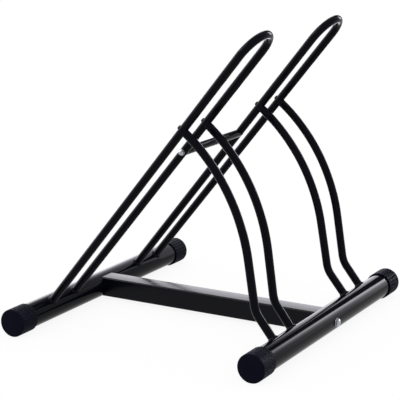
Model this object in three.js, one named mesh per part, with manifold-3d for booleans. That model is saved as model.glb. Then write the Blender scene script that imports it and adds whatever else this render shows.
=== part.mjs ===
// Floor rack for two bicycles, made of bent and welded steel tube.
//
// A rear foot carries two leaning hoops, and a front foot carries four arched tubes, one for each
// hoop leg. A square crossbar is bolted between the feet, the arches are bolted to the hoop legs,
// and a short brace ties the two hoops together. A wheel rolls in between the legs of a hoop.
//
// Millimetres. +X runs from the rear foot to the front foot, +Y along the feet, +Z up. The origin
// is on the floor, under the middle of the rack. Right is the -Y side, left the +Y side.

import * as THREE from 'three';
import { mergeVertices } from 'three/addons/utils/BufferGeometryUtils.js';
import Module from 'manifold-3d';

const wasm = await Module();
wasm.setup();

// ---------------------------------------------------------------- driving dimensions

// Between pieces that touch.
const seatGap = 0.3;

// Feet, round tube with a moulded cap over each end.
const footSpacing = 508;
const lengthOverCaps = 616;
const footDiameter = 48;
const footWall = 1.5;

// End caps.
const capLength = 46;
const capSkin = 1.9;
const capRibHeight = 0.8;
const capRibCount = 24;
const capGrooveShare = 0.3;
const capEndThickness = 3.5;
const capEdgeChamfer = 1.6;

// Crossbar, square tube.
const barSize = 40;
const barWall = 1.5;
const barCornerRadius = 3;

// Thin tube of the hoops, arches and brace.
const tubeDiameter = 16;
const tubeWall = 1.2;
const weldBead = 1.8;

// Hoops. Each leans forward from the rear foot and ends in a round bend. The outer legs are
// upright in Y, and the inner legs draw away from them a little towards the bend.
const hoopAngle = 51;
const hoopLegLength = 670;
const outerLegOffset = 194;
const hoopSpacingAtFoot = 76.5;
const hoopSpacingAtBend = 89;

// Arches. Each stands square on the front foot, bends nearly upright and then sweeps over in one
// long curve that meets its hoop leg square.
const archFootAngle = 51.5;
const archFootLength = 68;
const archLowBendRadius = 50;
const archLean = 9;
const archSweepRadius = 350;
const archEndLength = 12;
const archSpacingAtFoot = 73;

// Brace between the inner hoop legs, measured along the leg from the rear foot.
const braceDistance = 415;

// Fasteners: crossbar bolts, arch bolts with low round heads, brace bolts.
const crossbarBolt = { shank: 8, across: 13, head: 5.3, washer: 17, washerThickness: 1.6 };
const archBolt = { shank: 5, across: 9.5, head: 2.8, socket: 3 };
const braceBolt = { shank: 6, across: 10, head: 4, washer: 13, washerThickness: 1.4 };
const boltTailLength = 3;

// Threaded pieces: a plate with a nut in each end of the crossbar, and plugs in the tube ends.
const nutPlateThickness = 4;
const nutPlateInset = 3;
const nutHeight = 6.5;
const plugLength = 10;

// Fineness of the round forms.
const footSides = 40;
const tubeSides = 18;
const boreSides = 8;
const fastenerSides = 14;
const hoopBendSteps = 12;
const lowBendSteps = 4;
const sweepSteps = 9;

// ---------------------------------------------------------------- sizes that follow

const footRadius = footDiameter / 2;
const tubeRadius = tubeDiameter / 2;
const boreRadius = tubeRadius - tubeWall;
const capRadius = footRadius + seatGap + capSkin + capRibHeight;
const capBandAngle = (2 * Math.PI) / capRibCount;
const capLandAngle = capBandAngle * (1 - capGrooveShare);

// A cap rests on the flat of its lowest rib, so the foot axis is as high as that flat is deep.
const axisHeight = capRadius * Math.cos(capLandAngle / 2);
const rearX = -footSpacing / 2;
const frontX = footSpacing / 2;
const footTubeLength = lengthOverCaps - 2 * (capEndThickness + seatGap);

const degrees = (angle) => THREE.MathUtils.degToRad(angle);
const along = (angle) => new THREE.Vector2(Math.cos(degrees(angle)), Math.sin(degrees(angle)));
const rearAxis = new THREE.Vector2(rearX, axisHeight);
const frontAxis = new THREE.Vector2(frontX, axisHeight);

// ---------------------------------------------------------------- solids

// Closed geometry to a solid that can be cut and joined, and back.
function toSolid(geometry) {
  const bare = geometry.clone();
  bare.deleteAttribute('normal');
  bare.deleteAttribute('uv');
  const merged = mergeVertices(bare, 1e-4);
  return new wasm.Manifold(new wasm.Mesh({
    numProp: 3,
    vertProperties: new Float32Array(merged.attributes.position.array),
    triVerts: new Uint32Array(merged.index.array),
  }));
}

function toGeometry(solid) {
  const mesh = solid.getMesh();
  const geometry = new THREE.BufferGeometry();
  geometry.setAttribute('position', new THREE.BufferAttribute(mesh.vertProperties, 3));
  geometry.setIndex(new THREE.BufferAttribute(mesh.triVerts, 1));
  const flat = geometry.toNonIndexed();
  flat.computeVertexNormals();
  return flat;
}

function circle(radius, sides, turn = 0) {
  const points = [];
  for (let i = 0; i < sides; i += 1) {
    const angle = turn + (2 * Math.PI * i) / sides;
    points.push(new THREE.Vector2(radius * Math.cos(angle), radius * Math.sin(angle)));
  }
  return points;
}

function extrude(points, depth) {
  const shape = new THREE.Shape(points);
  return new THREE.ExtrudeGeometry(shape, { depth, bevelEnabled: false, curveSegments: 1 });
}

// A straight bar of any outline from one point to another.
function bar(outline, from, to) {
  const span = new THREE.Vector3().subVectors(to, from);
  const geometry = extrude(outline, span.length());
  const turn = new THREE.Quaternion().setFromUnitVectors(new THREE.Vector3(0, 0, 1), span.normalize());
  geometry.applyQuaternion(turn);
  geometry.translate(from.x, from.y, from.z);
  return toSolid(geometry);
}

const rod = (radius, sides, from, to) => bar(circle(radius, sides), from, to);

// A turned piece: the profile holds radius and distance along the axis, from -Y to +Y.
function turned(profile, sides) {
  const points = profile.map(([radius, distance]) => new THREE.Vector2(radius, distance));
  return new THREE.LatheGeometry(points, sides);
}

// ---------------------------------------------------------------- bent tube

// Walks a tube's centre line in its own plane, as straights and bends.
class BendPlan {
  constructor(start, heading) {
    this.point = start.clone();
    this.heading = heading;
    this.stations = [];
    this.mark();
  }

  mark() {
    this.stations.push({ point: this.point.clone(), heading: this.heading });
  }

  straight(length) {
    this.point.addScaledVector(along(this.heading), length);
    this.mark();
    return this;
  }

  // A positive angle turns anticlockwise in the plane.
  bend(radius, angle, steps) {
    const side = Math.sign(angle);
    const centre = this.point.clone().addScaledVector(along(this.heading + 90 * side), radius);
    for (let i = 0; i < steps; i += 1) {
      this.heading += angle / steps;
      this.point.copy(centre).addScaledVector(along(this.heading - 90 * side), radius);
      this.mark();
    }
    return this;
  }
}

// A curve that passes exactly through the stations of a bend plan, set in space.
class TubeLine extends THREE.Curve {
  constructor(plan, place) {
    super();
    const origin = place(new THREE.Vector2(0, 0));
    this.stations = plan.stations.map(({ point, heading }) => ({
      point: place(point),
      tangent: place(along(heading)).sub(origin).normalize(),
    }));
  }

  station(share) {
    return this.stations[Math.round(share * (this.stations.length - 1))];
  }

  getPointAt(share) {
    return this.station(share).point.clone();
  }

  getTangentAt(share) {
    return this.station(share).tangent.clone();
  }

  get end() {
    return this.stations[this.stations.length - 1];
  }

  sweep(radius, sides) {
    return toSolid(new THREE.ExtrudeGeometry(new THREE.Shape(circle(radius, sides)), {
      extrudePath: this,
      steps: this.stations.length - 1,
      curveSegments: 1,
    }));
  }
}

// The space that a foot tube takes, for cutting whatever is welded or bolted to it.
function footRod(x, radius) {
  const half = lengthOverCaps / 2;
  return rod(radius, footSides, new THREE.Vector3(x, -half, axisHeight),
    new THREE.Vector3(x, half, axisHeight));
}

// Weld round a thin tube where it meets a foot: a band of weld that lies on the foot.
function weldOnFoot(footX, from, direction) {
  const reach = from.clone().addScaledVector(direction, footRadius + 4 * weldBead);
  return rod(tubeRadius + weldBead, tubeSides, from, reach)
    .intersect(footRod(footX, footRadius + seatGap + weldBead));
}

// ---------------------------------------------------------------- finishes

const finishes = {
  powderCoat: { color: 0x15161b, roughness: 0.38, metalness: 0.25 },
  capPlastic: { color: 0x17181b, roughness: 0.6, metalness: 0 },
  zinc: { color: 0xb4b8bd, roughness: 0.32, metalness: 0.95 },
  blackBolt: { color: 0x1b1c1f, roughness: 0.45, metalness: 0.7 },
  rawSteel: { color: 0x84878b, roughness: 0.5, metalness: 0.9 },
};

const rack = new THREE.Group();

function addPiece(name, solid, finish) {
  const mesh = new THREE.Mesh(toGeometry(solid), new THREE.MeshStandardMaterial(finishes[finish]));
  mesh.name = name;
  rack.add(mesh);
}

// ---------------------------------------------------------------- hoops

const sides = [{ name: 'right', sign: -1 }, { name: 'left', sign: 1 }];
const legDirection = along(hoopAngle);
const innerLegSlope = (hoopSpacingAtBend - hoopSpacingAtFoot) / hoopLegLength;
const innerLegTurn = THREE.MathUtils.radToDeg(Math.atan(innerLegSlope));

// Distance of a leg from the middle plane, at a distance along it from the rear foot axis.
const spacingAt = (distance) => hoopSpacingAtFoot + innerLegSlope * distance;
const legOffset = (leg, distance) => (leg === 'outer' ? outerLegOffset : outerLegOffset - spacingAt(distance));

// A point on a leg's centre line.
function legPoint(sign, leg, distance) {
  const flat = rearAxis.clone().addScaledVector(legDirection, distance);
  return new THREE.Vector3(flat.x, sign * legOffset(leg, distance), flat.y);
}

// The space that a leg takes near a joint, with clearance, for cutting a tube that butts on it.
function legCutter(sign, leg, distance) {
  const reach = 3 * tubeDiameter;
  return rod(tubeRadius + seatGap, tubeSides, legPoint(sign, leg, distance - reach),
    legPoint(sign, leg, distance + reach));
}

// The hoop in its own plane: first number along the legs, second from outer leg to inner leg.
function hoopLine(sign) {
  const lead = footRadius / 2;
  const cosTurn = Math.cos(degrees(innerLegTurn));
  const bendRadius = spacingAt(hoopLegLength) / (1 + 1 / cosTurn);
  const plan = new BendPlan(new THREE.Vector2(lead, 0), 0)
    .straight(hoopLegLength - lead)
    .bend(bendRadius, 180 + innerLegTurn, hoopBendSteps);
  plan.straight((plan.point.x - lead) / cosTurn);
  return new TubeLine(plan, ({ x, y }) => {
    const flat = rearAxis.clone().addScaledVector(legDirection, x);
    return new THREE.Vector3(flat.x, sign * (outerLegOffset - y), flat.y);
  });
}

// ---------------------------------------------------------------- arches

// The arch in the X-Z plane. The length of its upright straight is whatever lets the sweep end on
// the centre line of the hoop leg.
function archPlan(uprightLength) {
  const lead = footRadius / 2;
  const start = frontAxis.clone().addScaledVector(along(180 - archFootAngle), lead);
  const footHeading = 180 - archFootAngle;
  const uprightHeading = 90 + archLean;
  const endHeading = 90 + hoopAngle;
  return new BendPlan(start, footHeading)
    .straight(archFootLength - lead)
    .bend(archLowBendRadius, uprightHeading - footHeading, lowBendSteps)
    .straight(uprightLength)
    .bend(archSweepRadius, endHeading - uprightHeading, sweepSteps)
    .straight(archEndLength);
}

const acrossLeg = along(90 + hoopAngle);
const shortOfLeg = archPlan(0).point.clone().sub(rearAxis).dot(acrossLeg);
const uprightLength = -shortOfLeg / along(90 + archLean).dot(acrossLeg);
const archShape = archPlan(uprightLength);
const jointDistance = archShape.point.clone().sub(rearAxis).dot(legDirection);

const archFootOffset = (leg) => (leg === 'outer' ? outerLegOffset : outerLegOffset - archSpacingAtFoot);

// Each arch lies in the plane that holds its place on the foot and its joint on the leg.
function archLine(sign, leg) {
  const footOffset = archFootOffset(leg);
  const rise = archShape.point.y - axisHeight;
  const slope = (legOffset(leg, jointDistance) - footOffset) / rise;
  return new TubeLine(archShape,
    ({ x, y }) => new THREE.Vector3(x, sign * (footOffset + slope * (y - axisHeight)), y));
}

// ---------------------------------------------------------------- fasteners

// A hexagon-head bolt: the head stands on the seat, and the shank runs against the outward way.
function hexBolt(size, seat, outward, shankLength) {
  const top = seat.clone().addScaledVector(outward, size.head);
  const tip = seat.clone().addScaledVector(outward, -shankLength);
  const middle = seat.clone().addScaledVector(outward, size.head / 2);
  const head = bar(circle(size.across / Math.sqrt(3), 6), seat, top);
  return head.add(rod(size.shank / 2, fastenerSides, tip, middle));
}

// A low round-head bolt with a hexagon socket.
function roundBolt(size, seat, outward, shankLength) {
  const radius = size.across / 2;
  const profile = [[0, 0], [radius, 0], [radius, size.head * 0.35], [radius * 0.8, size.head * 0.75],
    [radius * 0.5, size.head], [0, size.head]];
  const headGeometry = turned(profile, fastenerSides);
  const turn = new THREE.Quaternion().setFromUnitVectors(new THREE.Vector3(0, 1, 0), outward);
  headGeometry.applyQuaternion(turn);
  headGeometry.translate(seat.x, seat.y, seat.z);
  const socketFloor = seat.clone().addScaledVector(outward, size.head * 0.45);
  const socketMouth = seat.clone().addScaledVector(outward, size.head * 1.5);
  const tip = seat.clone().addScaledVector(outward, -shankLength);
  const root = seat.clone().addScaledVector(outward, size.head * 0.3);
  return toSolid(headGeometry)
    .add(rod(size.shank / 2, fastenerSides, tip, root))
    .subtract(bar(circle(size.socket / Math.sqrt(3), 6), socketFloor, socketMouth));
}

function flatWasher(size, seat, outward) {
  const far = seat.clone().addScaledVector(outward, size.washerThickness);
  const below = seat.clone().addScaledVector(outward, -size.washerThickness);
  const above = far.clone().addScaledVector(outward, size.washerThickness);
  return rod(size.washer / 2, fastenerSides, seat, far)
    .subtract(rod(size.shank / 2 + seatGap, fastenerSides, below, above));
}

// The clearance hole that a bolt passes through, from its seat inwards.
function boltHole(size, seat, outward, depth) {
  const from = seat.clone().addScaledVector(outward, seatGap + tubeWall);
  const to = seat.clone().addScaledVector(outward, -depth);
  return rod(size.shank / 2 + seatGap, fastenerSides, from, to);
}

// A threaded plug inside a tube end. The mouth is its outer face, and the way points inwards.
function plug(size, mouth, inward) {
  const inner = mouth.clone().addScaledVector(inward, plugLength);
  const before = mouth.clone().addScaledVector(inward, -plugLength);
  const beyond = inner.clone().addScaledVector(inward, plugLength);
  const plugRadius = boreRadius * Math.cos(Math.PI / boreSides) - 2 * seatGap;
  return rod(plugRadius, fastenerSides, mouth, inner)
    .subtract(rod(size.shank / 2 + seatGap, fastenerSides, before, beyond));
}

// Where a leg's arch bolt sits: on the back of the leg, in line with the end of the arch.
function archBoltSeat(sign, leg) {
  const outward = archLine(sign, leg).end.tangent;
  const seat = legPoint(sign, leg, jointDistance).addScaledVector(outward, tubeRadius + seatGap);
  return { seat, outward };
}

// Where a brace bolt's washer sits: on the wheel side of the inner leg.
function braceBoltSeat(sign) {
  const outward = new THREE.Vector3(0, sign, 0);
  const seat = legPoint(sign, 'inner', braceDistance).addScaledVector(outward, tubeRadius + seatGap);
  return { seat, outward };
}

// Depth from a seat on one side of a thin tube to the mouth of the plug beyond its other side.
const plugMouthDepth = tubeDiameter + 3 * seatGap;

// ---------------------------------------------------------------- rear frame

for (const { name, sign } of sides) {
  const line = hoopLine(sign);
  let hoop = line.sweep(tubeRadius, tubeSides);
  for (const leg of ['outer', 'inner']) {
    const root = legPoint(sign, leg, 0);
    const direction = legPoint(sign, leg, 1).sub(root).normalize();
    hoop = hoop.add(weldOnFoot(rearX, root, direction));
  }
  hoop = hoop.subtract(line.sweep(boreRadius, boreSides)).subtract(footRod(rearX, footRadius + seatGap));
  for (const leg of ['outer', 'inner']) {
    const { seat, outward } = archBoltSeat(sign, leg);
    hoop = hoop.subtract(boltHole(archBolt, seat, outward, plugMouthDepth));
  }
  const { seat, outward } = braceBoltSeat(sign);
  hoop = hoop.subtract(boltHole(braceBolt, seat, outward, plugMouthDepth));
  addPiece(`${name}_hoop`, hoop, 'powderCoat');
}

// ---------------------------------------------------------------- front frame

for (const { name, sign } of sides) {
  for (const leg of ['outer', 'inner']) {
    const line = archLine(sign, leg);
    const { point, tangent } = line.stations[0];
    const root = point.clone().addScaledVector(tangent, -footRadius / 2);
    const arch = line.sweep(tubeRadius, tubeSides)
      .add(weldOnFoot(frontX, root, tangent))
      .subtract(line.sweep(boreRadius, boreSides))
      .subtract(footRod(frontX, footRadius + seatGap))
      .subtract(legCutter(sign, leg, jointDistance));
    addPiece(`${name}_${leg}_arch`, arch, 'powderCoat');

    const { seat, outward } = archBoltSeat(sign, leg);
    const mouth = seat.clone().addScaledVector(outward, -plugMouthDepth);
    const inward = outward.clone().negate();
    const shankLength = plugMouthDepth + plugLength - boltTailLength;
    addPiece(`${name}_${leg}_arch_bolt`, roundBolt(archBolt, seat, outward, shankLength), 'blackBolt');
    addPiece(`${name}_${leg}_arch_plug`, plug(archBolt, mouth, inward), 'rawSteel');
  }
}

// ---------------------------------------------------------------- brace

const braceCut = (sign) => legCutter(sign, 'inner', braceDistance);
const braceEnds = sides.map(({ sign }) => legPoint(sign, 'inner', braceDistance));
const brace = rod(tubeRadius, tubeSides, ...braceEnds)
  .subtract(rod(boreRadius, boreSides, ...braceEnds))
  .subtract(braceCut(-1))
  .subtract(braceCut(1));
addPiece('brace_tube', brace, 'powderCoat');

for (const { name, sign } of sides) {
  const { seat, outward } = braceBoltSeat(sign);
  const headSeat = seat.clone().addScaledVector(outward, braceBolt.washerThickness + seatGap);
  const mouth = seat.clone().addScaledVector(outward, -plugMouthDepth);
  const inward = outward.clone().negate();
  const shankLength = headSeat.distanceTo(mouth) + plugLength - boltTailLength;
  addPiece(`${name}_brace_washer`, flatWasher(braceBolt, seat, outward), 'zinc');
  addPiece(`${name}_brace_bolt`, hexBolt(braceBolt, headSeat, outward, shankLength), 'zinc');
  addPiece(`${name}_brace_plug`, plug(braceBolt, mouth, inward), 'rawSteel');
}

// ---------------------------------------------------------------- crossbar

function roundedSquare(size, radius) {
  const half = size / 2;
  const shape = new THREE.Shape();
  shape.moveTo(half, -half + radius);
  shape.absarc(half - radius, half - radius, radius, 0, Math.PI / 2);
  shape.absarc(-half + radius, half - radius, radius, Math.PI / 2, Math.PI);
  shape.absarc(-half + radius, -half + radius, radius, Math.PI, 1.5 * Math.PI);
  shape.absarc(half - radius, -half + radius, radius, 1.5 * Math.PI, 2 * Math.PI);
  return shape.getPoints(2);
}

const barFrom = new THREE.Vector3(rearX, 0, axisHeight);
const barTo = new THREE.Vector3(frontX, 0, axisHeight);
const crossbar = bar(roundedSquare(barSize, barCornerRadius), barFrom, barTo)
  .subtract(bar(roundedSquare(barSize - 2 * barWall, barCornerRadius - barWall), barFrom, barTo))
  .subtract(footRod(rearX, footRadius + seatGap))
  .subtract(footRod(frontX, footRadius + seatGap));
addPiece('crossbar', crossbar, 'powderCoat');

// ---------------------------------------------------------------- feet, caps, crossbar bolts

// A foot tube with a hole right through for its crossbar bolt.
function footTube(x) {
  const half = footTubeLength / 2;
  const right = new THREE.Vector3(x, -half, axisHeight);
  const left = new THREE.Vector3(x, half, axisHeight);
  const before = new THREE.Vector3(x - footDiameter, 0, axisHeight);
  const beyond = new THREE.Vector3(x + footDiameter, 0, axisHeight);
  return rod(footRadius, footSides, right, left)
    .subtract(rod(footRadius - footWall, footSides, right, left))
    .subtract(rod(crossbarBolt.shank / 2 + seatGap, fastenerSides, before, beyond));
}

// The outline of a cap's side: broad flat ribs with narrow grooves, one rib at the bottom.
function ribOutline() {
  const points = [];
  for (let rib = 0; rib < capRibCount; rib += 1) {
    const middle = -Math.PI / 2 + rib * capBandAngle;
    for (const [radius, share] of [[capRadius, -0.5], [capRadius, 0.5]]) {
      const angle = middle + share * capLandAngle;
      points.push(new THREE.Vector2(radius * Math.cos(angle), radius * Math.sin(angle)));
    }
    const grooveRadius = capRadius - capRibHeight;
    const grooveHalf = (capBandAngle - capLandAngle) / 4;
    for (const step of [-1, 1]) {
      const angle = middle + capBandAngle / 2 + step * grooveHalf;
      points.push(new THREE.Vector2(grooveRadius * Math.cos(angle), grooveRadius * Math.sin(angle)));
    }
  }
  return points;
}

// A cap: ribbed outside, chamfered round its closed end, with a blind bore for the foot tube.
function endCap(x, sign) {
  const outline = ribOutline();
  const closed = sign * lengthOverCaps / 2;
  const open = closed - sign * capLength;
  const centre = (y) => new THREE.Vector3(x, y, axisHeight);
  const geometry = extrude(outline, capLength);
  geometry.rotateX(Math.PI / 2);
  geometry.translate(x, Math.max(closed, open), axisHeight);
  const envelope = turned([[0, 0], [capRadius - capEdgeChamfer, 0], [capRadius + seatGap, capEdgeChamfer],
    [capRadius + seatGap, 2 * capLength], [0, 2 * capLength]], capRibCount);
  envelope.rotateZ(sign > 0 ? Math.PI : 0);
  envelope.translate(x, closed, axisHeight);
  const floorOfBore = closed - sign * capEndThickness;
  return toSolid(geometry)
    .intersect(toSolid(envelope))
    .subtract(rod(footRadius + seatGap, footSides, centre(open - sign), centre(floorOfBore)));
}

// The plate with its nut, inside the end of the crossbar.
function nutPlate(x, outwardSign) {
  const inwards = (distance) => new THREE.Vector3(x - outwardSign * distance, 0, axisHeight);
  const face = footRadius + seatGap + nutPlateInset;
  const plateSize = barSize - 2 * barWall - 2 * seatGap;
  const back = face + nutPlateThickness;
  return bar(roundedSquare(plateSize, barCornerRadius - barWall), inwards(face), inwards(back))
    .add(bar(circle(crossbarBolt.across / Math.sqrt(3), 6), inwards(face + seatGap), inwards(back + nutHeight)))
    .subtract(rod(crossbarBolt.shank / 2 + seatGap, fastenerSides, inwards(face - nutHeight),
      inwards(back + 2 * nutHeight)));
}

for (const [end, x, outwardSign] of [['rear', rearX, -1], ['front', frontX, 1]]) {
  addPiece(`${end}_foot_tube`, footTube(x), 'powderCoat');
  for (const { name, sign } of sides) {
    addPiece(`${end}_${name}_cap`, endCap(x, sign), 'capPlastic');
  }
  const outward = new THREE.Vector3(outwardSign, 0, 0);
  const seat = new THREE.Vector3(x, 0, axisHeight).addScaledVector(outward, footRadius + seatGap);
  const headSeat = seat.clone().addScaledVector(outward, crossbarBolt.washerThickness + seatGap);
  const nutBack = footRadius + seatGap + nutPlateInset + nutPlateThickness + nutHeight;
  const shankLength = headSeat.distanceTo(new THREE.Vector3(x, 0, axisHeight)) + nutBack + boltTailLength;
  addPiece(`${end}_crossbar_washer`, flatWasher(crossbarBolt, seat, outward), 'zinc');
  addPiece(`${end}_crossbar_bolt`, hexBolt(crossbarBolt, headSeat, outward, shankLength), 'zinc');
  addPiece(`${end}_nut_plate`, nutPlate(x, outwardSign), 'rawSteel');
}

export default rack;
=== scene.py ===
# A floor rack for two bicycles, in bent black steel tube. Metres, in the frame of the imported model:
# +X from the rear foot to the front foot, +Y along the feet to the left, +Z up.
import math
import bpy
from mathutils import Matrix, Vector


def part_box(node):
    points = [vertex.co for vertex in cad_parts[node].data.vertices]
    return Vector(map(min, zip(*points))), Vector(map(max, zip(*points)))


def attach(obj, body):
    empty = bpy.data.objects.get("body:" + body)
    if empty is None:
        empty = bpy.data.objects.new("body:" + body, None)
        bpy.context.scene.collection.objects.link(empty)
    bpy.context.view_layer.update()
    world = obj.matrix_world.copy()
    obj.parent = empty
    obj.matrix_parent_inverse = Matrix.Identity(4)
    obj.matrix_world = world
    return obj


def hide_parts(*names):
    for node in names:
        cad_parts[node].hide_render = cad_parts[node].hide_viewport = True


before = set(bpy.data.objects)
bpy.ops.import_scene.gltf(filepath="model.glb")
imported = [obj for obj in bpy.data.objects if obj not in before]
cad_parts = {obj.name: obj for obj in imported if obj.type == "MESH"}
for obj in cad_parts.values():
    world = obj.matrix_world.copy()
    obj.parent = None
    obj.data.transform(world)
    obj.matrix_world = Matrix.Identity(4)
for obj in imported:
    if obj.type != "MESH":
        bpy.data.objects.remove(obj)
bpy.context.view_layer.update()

# ---------------------------------------------------------------- camera
# It stands in front of the rack and to its right, at about table height, and looks down a little.
# Its place and its lens come from fitting the centre lines of the tubes to the photograph.
CAMERA_PLACE = (1.3178, -2.3675, 0.8695)
LOOK_DOWN = math.radians(13.217)
TURN_LEFT = math.radians(29.464)
SENSOR_WIDTH = 36
FOCAL_LENGTH_IN_PIXELS = 1423.6
IMAGE_WIDTH_IN_PIXELS = 400

camera = bpy.data.objects.new("camera", bpy.data.cameras.new("camera"))
bpy.context.scene.collection.objects.link(camera)
bpy.context.scene.camera = camera
camera.location = CAMERA_PLACE
camera.rotation_euler = (math.pi / 2 - LOOK_DOWN, 0, TURN_LEFT)
camera.data.sensor_width = SENSOR_WIDTH
camera.data.lens = SENSOR_WIDTH * FOCAL_LENGTH_IN_PIXELS / IMAGE_WIDTH_IN_PIXELS
camera.data.clip_end = 60

# ---------------------------------------------------------------- feet
# Two straight pieces of 48 mm round steel tube, which lie side to side across the rack. The bent
# tubes are welded on them, and each part is then powder-coated black. Caps close their ends.
FOOT_X = 0.254  # from the middle of the rack to the axis of each foot
FOOT_RADIUS = 0.024
FOOT_HALF_LENGTH = 0.3042
FOOT_RINGS = (-FOOT_HALF_LENGTH, -0.1, 0.1, FOOT_HALF_LENGTH)  # places along a foot
FOOT_SIDES = 128
AXIS_HEIGHT = (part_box("rear_foot_tube")[0].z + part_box("rear_foot_tube")[1].z) / 2
ENDS = (("rear", -1), ("front", 1))


def feed(tree, socket, value):
    """Sets an input to a plain value, or links another node's output to it."""
    if isinstance(value, bpy.types.NodeSocket):
        tree.links.new(value, socket)
    else:
        socket.default_value = value


def add_node(tree, kind, inputs=None, **settings):
    """A node with its settings, and a value or another node's output for each named input."""
    node = tree.nodes.new(kind)
    for key, value in settings.items():
        setattr(node, key, value)
    for key, value in (inputs or {}).items():
        feed(tree, node.inputs[key], value)
    return node


class Finish:
    """A material with one shader, and noise in real sizes that varies it over the surface."""

    def __init__(self, name):
        self.material = bpy.data.materials.new(name)
        self.material.use_nodes = True
        self.tree = self.material.node_tree
        self.shader = self.tree.nodes["Principled BSDF"]
        self.place = add_node(self.tree, "ShaderNodeTexCoord").outputs["Object"]

    def set(self, name, value):
        feed(self.tree, self.shader.inputs[name], value)

    def noise(self, size, detail=2.0):
        """Cloudy noise with patches of this size in metres."""
        inputs = {"Scale": 1 / size, "Detail": detail, "Vector": self.place}
        return add_node(self.tree, "ShaderNodeTexNoise", inputs).outputs["Fac"]

    def spread(self, noise, low, high):
        """The same noise between two levels. Most of it lies between 0.3 and 0.7 before."""
        inputs = {"Value": noise, "From Min": 0.3, "From Max": 0.7, "To Min": low, "To Max": high}
        return add_node(self.tree, "ShaderNodeMapRange", inputs).outputs["Result"]

    def blend(self, noise, darker, paler):
        """A colour that follows the noise."""
        inputs = {"A": (*darker, 1), "B": (*paler, 1), "Factor": noise}
        return add_node(self.tree, "ShaderNodeMix", inputs, data_type="RGBA").outputs["Result"]

    def relief(self, layers):
        """A fine relief of layers over each other, each of (noise, depth in metres)."""
        normal = None
        for noise, depth in layers:
            inputs = {"Strength": 1.0, "Distance": depth, "Height": noise}
            if normal is not None:
                inputs["Normal"] = normal
            normal = add_node(self.tree, "ShaderNodeBump", inputs).outputs["Normal"]
        self.set("Normal", normal)


def powder_coat(name, dull, bright, refraction):
    """Black powder coat. Low refraction keeps it deep black square on and shiny at a glance."""
    finish = Finish(name)
    darker, paler = (0.0022, 0.0025, 0.0048), (0.0032, 0.0035, 0.0066)
    finish.set("Base Color", finish.blend(finish.noise(0.05), darker, paler))
    finish.set("Roughness", finish.spread(finish.noise(0.018), bright, dull))
    finish.set("IOR", refraction)
    orange_peel = (finish.noise(0.0022), 0.000007)
    grain = (finish.noise(0.0004), 0.0000015)
    finish.relief([orange_peel, grain])
    return finish.material


def add_piece(name, vertices, faces, material, nodes, sharp=40):
    """A mesh that rides on the rack and stands for the given nodes.

    It is smooth, but for edges where its faces meet at more than the sharp angle in degrees.
    """
    mesh = bpy.data.meshes.new(name)
    mesh.from_pydata([tuple(v) for v in vertices], [], faces)
    mesh.validate()
    mesh.update()
    for polygon in mesh.polygons:
        polygon.use_smooth = True
    mesh.set_sharp_from_angle(angle=math.radians(sharp))
    mesh.materials.append(material)
    piece = bpy.data.objects.new(name, mesh)
    bpy.context.scene.collection.objects.link(piece)
    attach(piece, "root")
    if nodes:
        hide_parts(*nodes)


def loft(rings, closed=False):
    """Faces between rings of equal length, with flat ends, or joined end to end where closed."""
    sides = len(rings[0])
    vertices = [point for ring in rings for point in ring]
    faces = []
    for i in range(len(rings) if closed else len(rings) - 1):
        this = i * sides
        following = (i + 1) % len(rings) * sides
        for j in range(sides):
            k = (j + 1) % sides
            faces.append((this + j, this + k, following + k, following + j))
    if not closed:
        faces.append(tuple(reversed(range(sides))))
        faces.append(tuple(range((len(rings) - 1) * sides, len(rings) * sides)))
    return vertices, faces


def spoke(angle, side, other):
    """The direction at an angle round an axis, from two directions square to it."""
    return math.cos(angle) * side + math.sin(angle) * other


def swept(stations, radius, sides):
    """A round bar along stations of (point, direction), with its rings kept from twisting."""
    rings = []
    side = stations[0][1].orthogonal().normalized()
    for point, direction in stations:
        side = (side - direction * side.dot(direction)).normalized()
        other = direction.cross(side)
        rings.append([point + radius * spoke(2 * math.pi * j / sides, side, other)
                      for j in range(sides)])
    return loft(rings)


coat = powder_coat("powder_coat", dull=0.10, bright=0.06, refraction=1.13)
for end, sign in ENDS:
    stations = [(Vector((sign * FOOT_X, y, AXIS_HEIGHT)), Vector((0, 1, 0))) for y in FOOT_RINGS]
    vertices, faces = swept(stations, FOOT_RADIUS, FOOT_SIDES)
    add_piece(f"{end}_foot", vertices, faces, coat, [f"{end}_foot_tube"])

# ---------------------------------------------------------------- hoops
# Each hoop is one length of 16 mm steel tube bent to a narrow U. Both its legs are welded on the
# rear foot and lean forward at 51 degrees, and the inner leg draws away from the outer one.
TUBE_RADIUS = 0.00795
TUBE_SIDES = 48
TUBE_START = 0.018  # from a foot's axis to where the thin tubes on it begin, inside the foot
BEND_STEP = math.radians(2)
HOOP_ANGLE = math.radians(51)
LEG_LENGTH = 0.670
OUTER_OFFSET = 0.194  # from the middle of the rack to the outer legs
SPACING_AT_FOOT = 0.0765
SPACING_AT_BEND = 0.089
LEG_SLOPE = (SPACING_AT_BEND - SPACING_AT_FOOT) / LEG_LENGTH
UP_THE_LEG = Vector((math.cos(HOOP_ANGLE), 0, math.sin(HOOP_ANGLE)))
REAR_AXIS = Vector((-FOOT_X, 0, AXIS_HEIGHT))
SIDES = (("right", -1), ("left", 1))
LEGS = ("outer", "inner")


def bent_line(start, heading, moves):
    """Points and headings of a tube bent in one plane: moves are (length,) or (radius, angle)."""
    x, y = start
    line = [(x, y, heading)]
    for move in moves:
        if len(move) == 1:
            x, y = x + move[0] * math.cos(heading), y + move[0] * math.sin(heading)
            line.append((x, y, heading))
            continue
        radius, angle = move
        steps = round(abs(angle) / BEND_STEP)
        side = math.copysign(math.pi / 2, angle)
        centre_x = x + radius * math.cos(heading + side)
        centre_y = y + radius * math.sin(heading + side)
        for _ in range(steps):
            heading += angle / steps
            x = centre_x + radius * math.cos(heading - side)
            y = centre_y + radius * math.sin(heading - side)
            line.append((x, y, heading))
    return line


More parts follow.
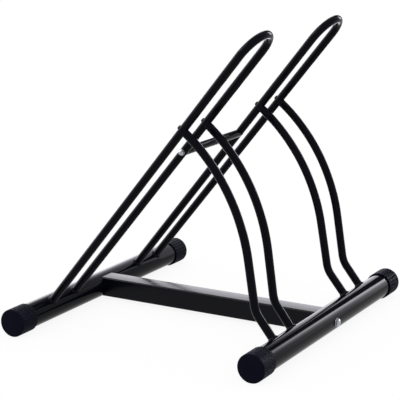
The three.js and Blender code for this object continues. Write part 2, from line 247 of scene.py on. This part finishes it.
def set_in_space(line, place):
    """The same line as (point, direction), where place puts a point of its plane in the rack."""
    origin = place(0, 0)
    return [(place(x, y), (place(math.cos(h), math.sin(h)) - origin).normalized())
            for x, y, h in line]


def leg_offset(leg, distance):
    """How far a hoop leg is from the middle of the rack, at a distance along it."""
    if leg == "outer":
        return OUTER_OFFSET
    return OUTER_OFFSET - SPACING_AT_FOOT - LEG_SLOPE * distance


def leg_point(sign, leg, distance):
    """The centre line of a hoop leg, at a distance along it from the rear foot's axis."""
    return REAR_AXIS + UP_THE_LEG * distance + Vector((0, sign * leg_offset(leg, distance), 0))


def thin_tube(name, stations, node):
    """A coated length of the thin tube along the stations."""
    vertices, faces = swept(stations, TUBE_RADIUS, TUBE_SIDES)
    add_piece(name, vertices, faces, coat, [node])


# The bend turns by the slope past a half turn, so that the inner leg runs back down at its slope.
past_half = math.atan(LEG_SLOPE)
bend = (SPACING_AT_BEND / (1 + 1 / math.cos(past_half)), math.pi + past_half)
hoop_line = bent_line((TUBE_START, 0), 0, [(LEG_LENGTH - TUBE_START,), bend])
bend_x, bend_y, heading = hoop_line[-1]
inner_leg = ((bend_x - TUBE_START) / math.cos(past_half),)
hoop_line += bent_line((bend_x, bend_y), heading, [inner_leg])[1:]
for side, sign in SIDES:
    stations = set_in_space(hoop_line, lambda x, y: REAR_AXIS + UP_THE_LEG * x
                            + Vector((0, sign * (OUTER_OFFSET - y), 0)))
    thin_tube(f"{side}_hoop_tube", stations, f"{side}_hoop")

# ---------------------------------------------------------------- arches
# Four lengths of the same tube, welded square on the front foot. Each bends nearly upright and then
# sweeps over in one long curve until it meets its hoop leg square, where a screw holds it.
FRONT_AXIS = Vector((FOOT_X, 0, AXIS_HEIGHT))
ARCH_FOOT_HEADING = math.pi - math.radians(51.5)
ARCH_FOOT_LENGTH = 0.068
LOW_BEND_RADIUS = 0.050
UPRIGHT_HEADING = math.pi / 2 + math.radians(9)
SWEEP_RADIUS = 0.350
ARCH_END_HEADING = math.pi / 2 + HOOP_ANGLE
ARCH_END_LENGTH = 0.012
ARCH_SPACING = 0.073


def arch_line(upright_length):
    """An arch seen from the side, as points and headings from inside the front foot."""
    start = (FRONT_AXIS.x + TUBE_START * math.cos(ARCH_FOOT_HEADING),
             FRONT_AXIS.z + TUBE_START * math.sin(ARCH_FOOT_HEADING))
    return bent_line(start, ARCH_FOOT_HEADING, [
        (ARCH_FOOT_LENGTH - TUBE_START,),
        (LOW_BEND_RADIUS, UPRIGHT_HEADING - ARCH_FOOT_HEADING),
        (upright_length,),
        (SWEEP_RADIUS, ARCH_END_HEADING - UPRIGHT_HEADING),
        (ARCH_END_LENGTH,),
    ])


def along_leg(x, z):
    """How far up the hoop legs a point lies, seen from the side."""
    return (x - REAR_AXIS.x) * UP_THE_LEG.x + (z - REAR_AXIS.z) * UP_THE_LEG.z


def across_leg(x, z):
    """How far behind the line of the hoop legs a point lies, seen from the side."""
    return (z - REAR_AXIS.z) * UP_THE_LEG.x - (x - REAR_AXIS.x) * UP_THE_LEG.z


# The upright straight is as long as it takes for the sweep to end on the leg.
end_x, end_z, _ = arch_line(0)[-1]
gain = math.sin(UPRIGHT_HEADING) * UP_THE_LEG.x - math.cos(UPRIGHT_HEADING) * UP_THE_LEG.z
arch_shape = arch_line(-across_leg(end_x, end_z) / gain)
top_x, top_z, _ = arch_shape[-1]
JOINT_DISTANCE = along_leg(top_x, top_z)
arch_roots = {}
arch_ends = {}
for side, sign in SIDES:
    for leg in LEGS:
        root_offset = OUTER_OFFSET if leg == "outer" else OUTER_OFFSET - ARCH_SPACING
        slope = (leg_offset(leg, JOINT_DISTANCE) - root_offset) / (top_z - AXIS_HEIGHT)
        stations = set_in_space(arch_shape, lambda x, z: Vector(
            (x, sign * (root_offset + slope * (z - AXIS_HEIGHT)), z)))
        arch_roots[side, leg] = stations[0]
        arch_ends[side, leg] = stations[-1]
        thin_tube(f"{side}_{leg}_arch_tube", stations, f"{side}_{leg}_arch")

# ---------------------------------------------------------------- brace
# A short straight length of the thin tube, with its ends cut to fit round the two inner hoop legs.
# One bolt through each leg draws it tight.
BRACE_DISTANCE = 0.415  # along the hoop legs, from the rear foot's axis
stations = [(leg_point(sign, "inner", BRACE_DISTANCE), Vector((0, 1, 0))) for _, sign in SIDES]
thin_tube("brace", stations, "brace_tube")

# ---------------------------------------------------------------- crossbar
# A 40 mm square steel tube with rounded corners, bolted between the feet. Its ends are cut in a
# half round so that they seat on the feet. Its coat is a little more satin than the tubes' coat.
BAR_HALF = 0.020
BAR_CORNER = 0.003
BAR_CORNER_STEPS = 8
BAR_END_GAP = 0.0004
bar_outline = []
for corner in range(4):
    diagonal = math.pi / 2 * (corner + 0.5)
    centre_y = math.copysign(BAR_HALF - BAR_CORNER, math.cos(diagonal))
    centre_z = math.copysign(BAR_HALF - BAR_CORNER, math.sin(diagonal))
    for step in range(BAR_CORNER_STEPS + 1):
        angle = math.pi / 2 * (corner + step / BAR_CORNER_STEPS)
        bar_outline.append((centre_y + BAR_CORNER * math.cos(angle),
                            centre_z + BAR_CORNER * math.sin(angle)))


def bar_end(z):
    """How far from the middle of the rack the bar ends, at a height over the feet's axes."""
    return FOOT_X - math.sqrt(FOOT_RADIUS ** 2 - z ** 2) + BAR_END_GAP


rings = [[Vector((sign * bar_end(z), y, AXIS_HEIGHT + z)) for y, z in bar_outline]
         for _, sign in ENDS]
vertices, faces = loft(rings)
satin_coat = powder_coat("satin_powder_coat", dull=0.24, bright=0.20, refraction=1.2)
add_piece("crossbar_tube", vertices, faces, satin_coat, ["crossbar"], sharp=60)

# ---------------------------------------------------------------- welds
# A bead of weld runs round each thin tube where it stands on a foot. It was laid by hand, so it has
# small ripples, and the powder coat covers it.
BEAD = 0.0030
BEAD_RINGS = 120
BEAD_STEPS = 7
BEAD_TOE = 0.0006  # how far the edges of the bead lie inside both tubes
BEAD_ROOT_IN_TUBE = 0.0015
BEAD_ROOT_IN_FOOT = 0.004
BEAD_CURVE = 0.85
BEAD_CROWN = 0.10
RIPPLES = 18
RIPPLE_DEPTH = 0.13
SWELLS = 3
SWELL_DEPTH = 0.06
SWELL_SHIFT = 90  # radians for each metre along the foot, so that no two beads are alike


def reach_foot(beside, direction, radius):
    """How far along a direction a line beside an axis point comes out of a foot's round skin."""
    flat = Vector((direction.x, 0, direction.z))
    a = flat.length_squared
    b = 2 * (flat.x * beside.x + flat.z * beside.z)
    c = beside.x ** 2 + beside.z ** 2 - radius ** 2
    return (-b + math.sqrt(b * b - 4 * a * c)) / (2 * a)


def weld_bead(name, axis_point, direction):
    """A rippled bead round a thin tube that stands on the foot whose axis runs through the point."""
    side = direction.orthogonal().normalized()
    other = direction.cross(side)
    rings = []
    for i in range(BEAD_RINGS):
        angle = 2 * math.pi * i / BEAD_RINGS
        around = spoke(angle, side, other)
        ripple = RIPPLE_DEPTH * math.sin(RIPPLES * angle)
        swell = SWELL_DEPTH * math.sin(SWELLS * angle + axis_point.y * SWELL_SHIFT)
        size = BEAD * (1 + ripple + swell)
        ring = []
        for step in range(BEAD_STEPS + 1):
            share = step / BEAD_STEPS
            beside = around * (TUBE_RADIUS - BEAD_TOE + (size + BEAD_TOE) * share)
            height = (size + BEAD_TOE) * (1 - share) ** BEAD_CURVE - BEAD_TOE
            height += BEAD_CROWN * size * math.sin(math.pi * share)
            along = reach_foot(beside, direction, FOOT_RADIUS + height)
            ring.append(axis_point + beside + direction * along)
        ring.append(axis_point + around * (TUBE_RADIUS - BEAD_ROOT_IN_TUBE)
                    + direction * (FOOT_RADIUS - BEAD_ROOT_IN_FOOT))
        rings.append(ring)
    vertices, faces = loft(rings, closed=True)
    add_piece(name, vertices, faces, coat, [], sharp=80)


for side, sign in SIDES:
    for leg in LEGS:
        root = leg_point(sign, leg, 0)
        weld_bead(f"{side}_{leg}_leg_weld", root, (leg_point(sign, leg, 1) - root).normalized())
        point, direction = arch_roots[side, leg]
        weld_bead(f"{side}_{leg}_arch_weld", point - direction * TUBE_START, direction)

# ---------------------------------------------------------------- end caps
# Moulded black plastic cups pushed over the ends of the feet. Flat ribs run along the sides, one of
# them is at the bottom, and the rim of the closed end is rounded.
CAP_HALF_SPAN = 0.308  # from the middle of the rack to the outside of the caps
CAP_LENGTH = 0.046
CAP_END_WALL = 0.004
CAP_BORE = FOOT_RADIUS + 0.00015
CAP_BEVEL = 0.0006
RIM_RADIUS = 0.0022
RIM_STEPS = 6
GROOVE_AT_RIM = 0.2  # depth of the grooves there, as a share of their full depth
GROOVE_AT_MOUTH = 0.6
GROOVE_RUN_OUT = 0.0012
RIBS = 24
RIB_HEIGHT = 0.0008
RIB_PITCH = 2 * math.pi / RIBS
RIB_WIDTH = 0.7 * RIB_PITCH
GROOVE_WIDTH = RIB_PITCH - RIB_WIDTH
CAP_RADIUS = AXIS_HEIGHT / math.cos(RIB_WIDTH / 2)
# Across a rib: the place as a share of its width, and the share of its height that is rounded off.
RIB_PROFILE = ((-0.5, 0.12), (-0.42, 0), (-0.2, 0), (0.2, 0), (0.42, 0), (0.5, 0.12))
# Across a groove: the places alone, as shares of its width.
GROOVE_PROFILE = (-0.3, 0.3)


def cap_plastic():
    """Black moulded plastic with a fine spark-eroded grain."""
    finish = Finish("cap_plastic")
    darker, paler = (0.0034, 0.0038, 0.0094), (0.0044, 0.0049, 0.0118)
    finish.set("Base Color", finish.blend(finish.noise(0.03), darker, paler))
    finish.set("Roughness", finish.spread(finish.noise(0.002), 0.52, 0.58))
    finish.set("IOR", 1.1)
    finish.relief([(finish.noise(0.00035, 3), 0.000005)])
    return finish.material


def round_foot(x, y, radius, angle):
    """A point round the axis of the foot at x."""
    return Vector((x + radius * math.cos(angle), y, AXIS_HEIGHT + radius * math.sin(angle)))


def ribbed_ring(x, y, inset, depth):
    """The cap's outline at one place along it. Depth 1 gives full grooves, 0 none."""
    ring = []
    for rib in range(RIBS):
        middle = -math.pi / 2 + rib * RIB_PITCH
        for share, drop in RIB_PROFILE:
            aside = share * RIB_WIDTH
            radius = AXIS_HEIGHT / math.cos(aside) - inset - drop * RIB_HEIGHT * depth
            ring.append(round_foot(x, y, radius, middle + aside))
        for share in GROOVE_PROFILE:
            radius = CAP_RADIUS - inset - RIB_HEIGHT * depth
            ring.append(round_foot(x, y, radius, middle + RIB_PITCH / 2 + share * GROOVE_WIDTH))
    return ring


def bore_ring(x, y, outline):
    """A ring of the round bore, with its points in line with those of an outline."""
    angles = [math.atan2(point.z - AXIS_HEIGHT, point.x - x) for point in outline]
    return [round_foot(x, y, CAP_BORE, angle) for angle in angles]


plastic = cap_plastic()
for end, end_sign in ENDS:
    x = end_sign * FOOT_X
    for side, sign in SIDES:
        rings = []
        for step in range(RIM_STEPS + 1):
            angle = math.pi / 2 * step / RIM_STEPS
            inset = RIM_RADIUS * (1 - math.sin(angle))
            y = CAP_HALF_SPAN - RIM_RADIUS * (1 - math.cos(angle))
            rings.append(ribbed_ring(x, sign * y, inset, GROOVE_AT_RIM * step / RIM_STEPS))
        mouth = CAP_HALF_SPAN - CAP_LENGTH
        rings.append(ribbed_ring(x, sign * (CAP_HALF_SPAN - RIM_RADIUS - GROOVE_RUN_OUT), 0, 1))
        rings.append(ribbed_ring(x, sign * (mouth + CAP_BEVEL), 0, 1))
        rings.append(ribbed_ring(x, sign * mouth, CAP_BEVEL, GROOVE_AT_MOUTH))
        for y in (mouth, CAP_HALF_SPAN - CAP_END_WALL):
            rings.append(bore_ring(x, sign * y, rings[0]))
        vertices, faces = loft(rings)
        add_piece(f"{end}_{side}_end_cap", vertices, faces, plastic,
                  [f"{end}_{side}_cap"], sharp=30)

# ---------------------------------------------------------------- hexagon bolts and washers
# Bright zinc-plated bolts. The heads are forged with a low dome on top, and the washers are stamped,
# so one edge of each is rounded over.
CROSSBAR_BOLT = {"across": 0.013, "head": 0.0053, "shank": 0.008, "length": 0.060}
CROSSBAR_WASHER = {"outer": 0.0085, "hole": 0.0042, "thickness": 0.0018}
CROSSBAR_SEAT = FOOT_RADIUS - 0.0002
BRACE_BOLT = {"across": 0.010, "head": 0.004, "shank": 0.006, "length": 0.030}
BRACE_WASHER = {"outer": 0.0065, "hole": 0.0032, "thickness": 0.0016}
BRACE_SEAT = TUBE_RADIUS - 0.0003
HEAD_GAP = 0.0001  # from a washer to the head on it
BOLT_SIDES = 72
BOLT_TIP = 0.0006
HEAD_FOOT = 0.0002
# The top of a head, in shares of its width across the flats: how far below it the six sides end, how
# far its dome drops, and how wide the dome is.
SIDES_END = 0.22
DOME_DROP = 0.15
DOME_WIDTH = 0.97
DOME_STEPS = 9
WASHER_SIDES = 64
WASHER_EDGE = 0.25  # height of the rounded edge, as a share of the thickness
EDGE_CORNER = 0.3  # how far the middle of that edge is cut back, as a share of its height


def zinc_plate(name, darker, paler, metallic):
    """Zinc plate: pale grey metal, cloudy and a little uneven. Its two uses carry painted light: a
    paler, lit copy for the bolt heads and a darker, shaded copy for the washers.
    """
    finish = Finish(name)
    finish.set("Base Color", finish.blend(finish.noise(0.003), darker, paler))
    finish.set("Metallic", metallic)
    finish.set("Roughness", finish.spread(finish.noise(0.0012, 4), 0.24, 0.38))
    finish.relief([(finish.noise(0.0008), 0.00002)])
    return finish.material


def to_hexagon(angle, half_width):
    """How far the side of a hexagon is from its middle, at an angle."""
    within = (angle + math.pi / 6) % (math.pi / 3) - math.pi / 6
    return half_width / math.cos(within)


def turned(seat, outward, profile, sides, closed=False):
    """A solid of rings round an axis, from a profile of (radius, height).

    Where a third number follows, it is half the width of a hexagon that cuts that ring's sides flat.
    """
    side = outward.orthogonal().normalized()
    other = outward.cross(side)
    rings = []
    for radius, height, *hexagon in profile:
        ring = []
        for j in range(sides):
            angle = 2 * math.pi * j / sides
            reach = min(radius, to_hexagon(angle, *hexagon)) if hexagon else radius
            ring.append(seat + outward * height + reach * spoke(angle, side, other))
        rings.append(ring)
    return loft(rings, closed)


def hexagon_bolt(name, node, seat, outward, across, head, shank, length):
    """A bolt with its head on the seat. The head's corners are turned off below its dome."""
    corner = across / math.sqrt(3)
    flat = across / 2
    profile = [(shank / 2 - BOLT_TIP, -length), (shank / 2, BOLT_TIP - length), (shank / 2, 0),
               (flat, 0), (corner, HEAD_FOOT, flat), (corner, head - SIDES_END * across, flat)]
    for step in range(DOME_STEPS):
        share = 1 - step / DOME_STEPS
        profile.append((DOME_WIDTH * flat * share, head - DOME_DROP * across * share ** 2))
    vertices, faces = turned(seat, outward, profile, BOLT_SIDES)
    add_piece(name, vertices, faces, zinc, [node], sharp=25)


def flat_washer(name, node, seat, outward, outer, hole, thickness):
    """A washer on the seat, with its outer edge rounded over."""
    edge = WASHER_EDGE * thickness
    cut = EDGE_CORNER * edge
    profile = [(hole, 0), (outer, 0), (outer, thickness - edge), (outer - cut, thickness - cut),
               (outer - edge, thickness), (hole, thickness)]
    vertices, faces = turned(seat, outward, profile, WASHER_SIDES, closed=True)
    add_piece(name, vertices, faces, shaded_washer_zinc, [node], sharp=30)


def bolt_on_washer(joint, seat, outward, bolt, washer):
    """The bolt and the washer of one joint."""
    flat_washer(f"{joint}_flat_washer", f"{joint}_washer", seat, outward, **washer)
    under_head = seat + outward * (washer["thickness"] + HEAD_GAP)
    hexagon_bolt(f"{joint}_hex_bolt", f"{joint}_bolt", under_head, outward, **bolt)


# Heads and washers have the same zinc plating. The heads' paler colour is a painted highlight for the
# bright streak down them. The washers' darker colour is painted shade, as if they lay in shadow under
# the heads.
zinc = zinc_plate("zinc_plate", (0.26, 0.27, 0.30), (0.54, 0.56, 0.60), 0.90)
shaded_washer_zinc = zinc_plate("shaded_washer_zinc", (0.20, 0.21, 0.23), (0.32, 0.33, 0.35), 0.95)
for end, sign in ENDS:
    outward = Vector((sign, 0, 0))
    seat = Vector((sign * FOOT_X, 0, AXIS_HEIGHT)) + outward * CROSSBAR_SEAT
    bolt_on_washer(f"{end}_crossbar", seat, outward, CROSSBAR_BOLT, CROSSBAR_WASHER)
for side, sign in SIDES:
    outward = Vector((0, sign, 0))
    seat = leg_point(sign, "inner", BRACE_DISTANCE) + outward * BRACE_SEAT
    bolt_on_washer(f"{side}_brace", seat, outward, BRACE_BOLT, BRACE_WASHER)

# ---------------------------------------------------------------- arch bolts
# Low round-head screws with a hexagon socket, in blackened steel. Each goes through a hoop leg from
# behind into the end of an arch.
SCREW_SEAT = TUBE_RADIUS - 0.0003
SCREW_SIDES = 48
SCREW_SHANK_RADIUS = 0.0024
SCREW_LENGTH = 0.026
SCREW_HEAD_RADIUS = 0.00475
SCREW_TOP = 0.5  # radius of the flat top, as a share of the head's
SCREW_BEVEL = 0.0002
SCREW_EDGE = 0.0003  # height of the head's edge, under its round
SCREW_ROUND = 0.0025
SCREW_ROUND_STEPS = 8
SOCKET_HALF_WIDTH = 0.0015
SOCKET_CORNER = 0.0017
# The socket, from its round mouth through its hexagon to its floor.
SOCKET_PROFILE = [
    (0.0019, SCREW_EDGE + SCREW_ROUND),
    (SOCKET_CORNER, 0.0026, SOCKET_HALF_WIDTH),
    (SOCKET_CORNER, 0.0012, SOCKET_HALF_WIDTH),
    (0.0004, 0.0010),
]


def black_screw():
    """Blackened steel: dark, slightly brown where it is paler, with an oily sheen."""
    finish = Finish("black_screw")
    darker, paler = (0.018, 0.018, 0.020), (0.030, 0.029, 0.028)
    finish.set("Base Color", finish.blend(finish.noise(0.004), darker, paler))
    finish.set("Metallic", 0.6)
    finish.set("Roughness", finish.spread(finish.noise(0.001, 3), 0.26, 0.42))
    finish.relief([(finish.noise(0.0005), 0.000004)])
    return finish.material


screw_profile = [(SCREW_SHANK_RADIUS, -SCREW_LENGTH), (SCREW_SHANK_RADIUS, 0),
                 (SCREW_HEAD_RADIUS - SCREW_BEVEL, 0), (SCREW_HEAD_RADIUS, SCREW_EDGE)]
for step in range(1, SCREW_ROUND_STEPS + 1):
    angle = math.pi / 2 * step / SCREW_ROUND_STEPS
    inward = (1 - SCREW_TOP) * (1 - math.cos(angle))
    screw_profile.append((SCREW_HEAD_RADIUS * (1 - inward),
                          SCREW_EDGE + SCREW_ROUND * math.sin(angle)))
screw_profile += SOCKET_PROFILE
black = black_screw()
for side, sign in SIDES:
    for leg in LEGS:
        outward = arch_ends[side, leg][1]
        seat = leg_point(sign, leg, JOINT_DISTANCE) + outward * SCREW_SEAT
        vertices, faces = turned(seat, outward, screw_profile, SCREW_SIDES)
        add_piece(f"{side}_{leg}_arch_screw", vertices, faces, black,
                  [f"{side}_{leg}_arch_bolt"], sharp=30)

# ---------------------------------------------------------------- hidden threaded pieces
# The plugs in the tube ends and the nut plates in the crossbar are plain machined steel. They stay
# as packed, out of sight inside the tubes, and get a turned-steel finish.
def plain_steel():
    """Machined steel, finely mottled."""
    finish = Finish("plain_steel")
    darker, paler = (0.28, 0.28, 0.29), (0.38, 0.38, 0.39)
    finish.set("Base Color", finish.blend(finish.noise(0.002), darker, paler))
    finish.set("Metallic", 1.0)
    finish.set("Roughness", finish.spread(finish.noise(0.0006, 4), 0.3, 0.5))
    finish.relief([(finish.noise(0.0003), 0.000008)])
    return finish.material


steel = plain_steel()
for name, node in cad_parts.items():
    if name.endswith("_plug") or name.endswith("_nut_plate"):
        node.data.materials.clear()
        node.data.materials.append(steel)

# ---------------------------------------------------------------- floor
# A plain white floor. The camera and every mirror see it glow white, with a share of it left plain to
# take the shadow of the rack. To all other rays it is grey paper.
FLOOR_HALF = 12
PAPER_GREY = (0.4, 0.4, 0.4, 1)
SHADED_WHITE = (0.95, 0.95, 0.95, 1)
FLOOR_GLOW = 1.025
GLOW_SHARE = 0.88


def bare_tree(holder):
    """The node tree of a material or a world, emptied."""
    holder.use_nodes = True
    holder.node_tree.nodes.clear()
    return holder.node_tree


def combine(tree, operation, first, second):
    """Two values in one, by an operation such as MULTIPLY or MAXIMUM."""
    inputs = {0: first, 1: second}
    return add_node(tree, "ShaderNodeMath", inputs, operation=operation).outputs[0]


def mix_shaders(tree, share, first, second):
    """Two shaders in one, with the second one's share of them."""
    inputs = {0: share, 1: first.outputs[0], 2: second.outputs[0]}
    return add_node(tree, "ShaderNodeMixShader", inputs)


def background_rays(tree, rays):
    """1 for the rays that show the background: the camera's, and those off metal and through glass."""
    bent = combine(tree, "MAXIMUM", rays.outputs["Is Glossy Ray"], rays.outputs["Is Transmission Ray"])
    return combine(tree, "MAXIMUM", rays.outputs["Is Camera Ray"], bent)


def stage_card(name, corners):
    """A flat card that isn't part of the rack, with the bare tree of its material."""
    mesh = bpy.data.meshes.new(name)
    mesh.from_pydata(corners, [], [(0, 1, 2, 3)])
    card = bpy.data.objects.new(name, mesh)
    bpy.context.scene.collection.objects.link(card)
    material = bpy.data.materials.new(name)
    mesh.materials.append(material)
    return card, bare_tree(material)


corners = [(x * FLOOR_HALF, y * FLOOR_HALF, 0) for x, y in ((-1, -1), (1, -1), (1, 1), (-1, 1))]
_, tree = stage_card("floor", corners)
rays = add_node(tree, "ShaderNodeLightPath")
paper = add_node(tree, "ShaderNodeBsdfDiffuse", {"Color": PAPER_GREY})
shaded = add_node(tree, "ShaderNodeBsdfDiffuse", {"Color": SHADED_WHITE})
glow = add_node(tree, "ShaderNodeEmission", {"Strength": FLOOR_GLOW})
white = mix_shaders(tree, GLOW_SHARE, shaded, glow)
surface = mix_shaders(tree, background_rays(tree, rays), paper, white)
add_node(tree, "ShaderNodeOutputMaterial", {"Surface": surface.outputs[0]})

# ---------------------------------------------------------------- softbox and flag
# A long low softbox stands close behind the rack. Its right edge is in line with the front foot, which
# mirrors it, then a black flag far behind, and then the lamp beside the flag.
LAMP_COLOUR = (0.975, 0.96, 1.03, 1)
SOFTBOX = {"left": -1.3, "right": 0.12, "bottom": 0, "top": 0.75, "y": 0.72}
SOFTBOX_STRENGTH = 3.5
SOFTBOX_LEVELS = [(0.0, 0.6), (0.12, 1.0), (0.34, 0.95), (0.75, 0.12)]
FLAG = {"left": -1.9, "right": 1.3, "bottom": 0.6, "top": 8, "y": 6}
FLAG_GREY = (0.15, 0.15, 0.15, 1)


def ramp(tree, value, start, end, stops):
    """A level that follows the value: stops of (value, level) between the start and the end."""
    inputs = {"Value": value, "From Min": start, "From Max": end}
    share = add_node(tree, "ShaderNodeMapRange", inputs).outputs["Result"]
    node = add_node(tree, "ShaderNodeValToRGB", {"Fac": share})
    node.color_ramp.interpolation = "EASE"
    elements = node.color_ramp.elements
    places = [(at - start) / (end - start) for at, _ in stops]
    elements[0].position, elements[1].position = places[0], places[-1]
    for position in places[1:-1]:
        elements.new(position)
    for element, (_, level) in zip(elements, stops):
        element.color = (level, level, level, 1)
    return node.outputs["Color"]


def mirrored_card(name, left, right, bottom, top, y):
    """The tree of an upright card that only mirrors see."""
    corners = [(left, y, bottom), (right, y, bottom), (right, y, top), (left, y, top)]
    card, tree = stage_card(name, corners)
    card.visible_camera = False
    card.visible_diffuse = False
    card.visible_shadow = False
    card.visible_transmission = False
    return tree


tree = mirrored_card("softbox", **SOFTBOX)
place = add_node(tree, "ShaderNodeTexCoord")
split = add_node(tree, "ShaderNodeSeparateXYZ", {0: place.outputs["Object"]})
upward = ramp(tree, split.outputs["Z"], 0, SOFTBOX["top"], SOFTBOX_LEVELS)
strength = combine(tree, "MULTIPLY", upward, SOFTBOX_STRENGTH)
light = add_node(tree, "ShaderNodeEmission", {"Color": LAMP_COLOUR, "Strength": strength})
add_node(tree, "ShaderNodeOutputMaterial", {"Surface": light.outputs[0]})

tree = mirrored_card("flag", **FLAG)
black_cloth = add_node(tree, "ShaderNodeBsdfDiffuse", {"Color": FLAG_GREY})
add_node(tree, "ShaderNodeOutputMaterial", {"Surface": black_cloth.outputs[0]})

# ---------------------------------------------------------------- room and lamps
# A white room, which the camera and every mirror see alike, lights the rack softly from all round.
# Brighter lamps run from the left of the rack round behind it. They show only as mirror images in the
# coat and the zinc, and light nothing else.
WHITE = (1, 1, 1, 1)
SOFT_STRENGTH = 0.9
WHITE_STRENGTH = 1.0

world = bpy.data.worlds.new("studio")
bpy.context.scene.world = world
tree = bare_tree(world)
rays = add_node(tree, "ShaderNodeLightPath")
place = add_node(tree, "ShaderNodeTexCoord")
split = add_node(tree, "ShaderNodeSeparateXYZ", {0: place.outputs["Generated"]})
# The compass direction of a ray in radians: 0 is straight along +Y, and less than 0 is to the left.
compass = combine(tree, "ARCTAN2", split.outputs["X"], split.outputs["Y"])
# The rise of a ray: 0 is level, and 1 is straight up.
rise = split.outputs["Z"]


def lamp(strength, around, upward):
    """A lamp on the wall of the room, with its levels by compass direction and by rise."""
    sideways = ramp(tree, compass, -math.pi, math.pi, around)
    level = combine(tree, "MULTIPLY", sideways, ramp(tree, rise, -1, 1, upward))
    return combine(tree, "MULTIPLY", level, strength)


long_wall = lamp(
    strength=8.0,
    around=[(-2.6, 0.0), (-2.35, 0.08), (-2.05, 0.25), (-1.85, 0.30), (-1.57, 0.20), (-1.30, 0.56),
            (-0.85, 0.56), (-0.5, 0.46), (-0.3, 0.0), (3.1, 0.0)],
    upward=[(0.45, 1.0), (0.55, 0.8), (0.66, 0.06), (1.0, 0.0)])
beside_flag = lamp(
    strength=16.0,
    around=[(0.18, 0.0), (0.215, 0.98), (0.29, 0.86), (0.40, 0.26), (0.50, 0.05), (0.60, 0.0)],
    upward=[(0.44, 1.0), (0.52, 0.0)])
side_box = lamp(
    strength=10.0,
    around=[(-2.85, 0.0), (-2.6, 0.5), (-1.9, 0.5), (-1.6, 0.0)],
    upward=[(0.36, 0.0), (0.50, 1.0), (0.80, 1.0), (0.92, 0.0)])
lamps = combine(tree, "ADD", combine(tree, "ADD", long_wall, beside_flag), side_box)
mirrored = combine(tree, "MULTIPLY", lamps, rays.outputs["Is Glossy Ray"])
soft = add_node(tree, "ShaderNodeBackground", {"Color": WHITE, "Strength": SOFT_STRENGTH})
white = add_node(tree, "ShaderNodeBackground", {"Color": WHITE, "Strength": WHITE_STRENGTH})
room = mix_shaders(tree, background_rays(tree, rays), soft, white)
lights = add_node(tree, "ShaderNodeBackground", {"Color": LAMP_COLOUR, "Strength": mirrored})
lit_room = add_node(tree, "ShaderNodeAddShader", {0: room.outputs[0], 1: lights.outputs[0]})
add_node(tree, "ShaderNodeOutputWorld", {"Surface": lit_room.outputs[0]})

bpy.context.scene.view_settings.view_transform = "Standard"
